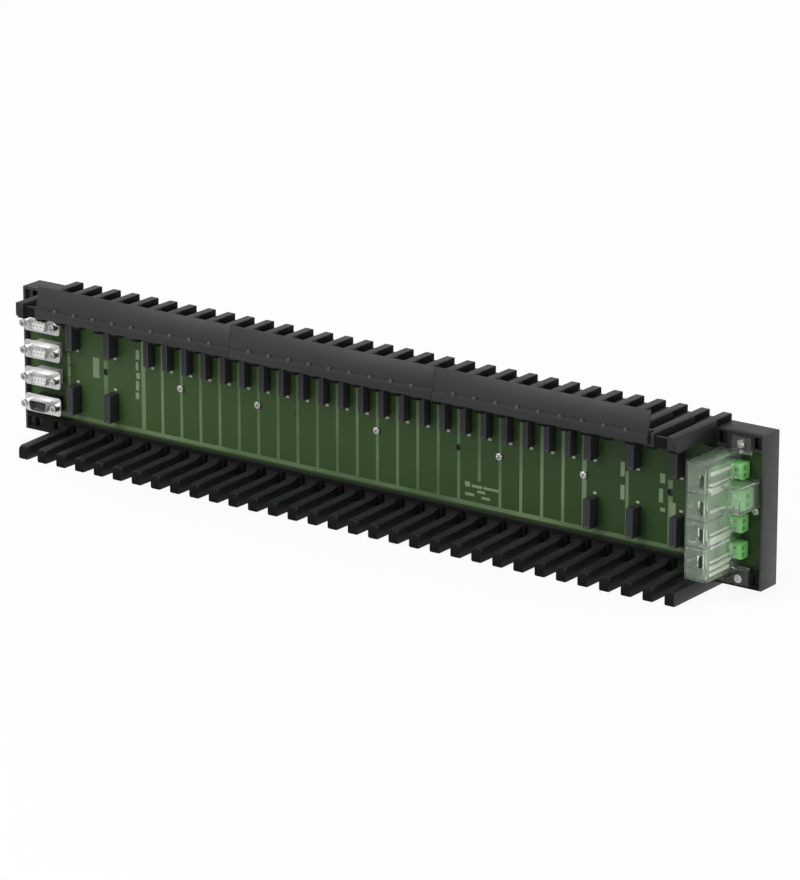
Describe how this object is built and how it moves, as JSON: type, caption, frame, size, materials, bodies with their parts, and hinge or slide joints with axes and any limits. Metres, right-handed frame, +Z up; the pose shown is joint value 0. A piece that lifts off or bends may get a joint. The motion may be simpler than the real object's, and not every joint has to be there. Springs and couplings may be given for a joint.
{
  "type": "redundancy base backplane",
  "caption": "Long black backplane base for plug-in modules, with a green circuit board between two combs, ports at one end and clear-hooded supply terminals at the other.",
  "frame": {"origin": "middle of the footprint, on the plane of the lower fingers' undersides", "axes": "+X along the row of slots, from the ports to the supply terminals; +Y to the rear, towards the mounting panel; +Z up"},
  "size_m": [0.5846, 0.0668, 0.1224],
  "materials": {
    "tray_plastic": "black moulded, fine texture",
    "comb_plastic": "black moulded, fine texture",
    "carrier_plastic": "black moulded, satin",
    "solder_mask": "green solder mask",
    "socket_plastic": "black moulded",
    "port_metal": "bright tin plate",
    "insulator_light": "light grey moulded",
    "insulator_dark": "black moulded",
    "screw_steel": "zinc plated",
    "header_green": "green moulded",
    "plug_green": "light green moulded",
    "hood_clear": "clear moulded"
  },
  "bodies": {
    "root": {"base_tray": "tray_plastic", "bottom_comb": "comb_plastic", "circuit_board": "solder_mask", "jack_screws": "screw_steel", "label_carrier_1": "carrier_plastic", "label_carrier_2": "carrier_plastic", "label_carrier_3": "carrier_plastic", "port_insulator_1": "insulator_light", "port_insulator_2": "insulator_light", "port_insulator_3": "insulator_light", "port_insulator_4": "insulator_dark", "port_shell_1": "port_metal", "port_shell_2": "port_metal", "port_shell_3": "port_metal", "port_shell_4": "port_metal", "socket_lower_01": "socket_plastic", "socket_lower_02": "socket_plastic", "socket_lower_25": "socket_plastic", "socket_lower_26": "socket_plastic", "socket_lower_27": "socket_plastic", "socket_upper_01": "socket_plastic", "socket_upper_02": "socket_plastic", "socket_upper_03": "socket_plastic", "socket_upper_04": "socket_plastic", "socket_upper_05": "socket_plastic", "socket_upper_06": "socket_plastic", "socket_upper_07": "socket_plastic", "socket_upper_08": "socket_plastic", "socket_upper_09": "socket_plastic", "socket_upper_10": "socket_plastic", "socket_upper_11": "socket_plastic", "socket_upper_12": "socket_plastic", "socket_upper_13": "socket_plastic", "socket_upper_14": "socket_plastic", "socket_upper_15": "socket_plastic", "socket_upper_16": "socket_plastic", "socket_upper_17": "socket_plastic", "socket_upper_18": "socket_plastic", "socket_upper_19": "socket_plastic", "socket_upper_20": "socket_plastic", "socket_upper_21": "socket_plastic", "socket_upper_22": "socket_plastic", "socket_upper_23": "socket_plastic", "socket_upper_24": "socket_plastic", "socket_upper_25": "socket_plastic", "socket_upper_26": "socket_plastic", "socket_upper_27": "socket_plastic", "terminal_header_1": "header_green", "terminal_header_2": "header_green", "terminal_header_3": "header_green", "terminal_header_4": "header_green", "terminal_hood": "hood_clear", "terminal_plug_1": "plug_green", "terminal_plug_2": "plug_green", "terminal_plug_3": "plug_green", "terminal_plug_4": "plug_green", "top_comb": "comb_plastic"}
  },
  "joints": []
}
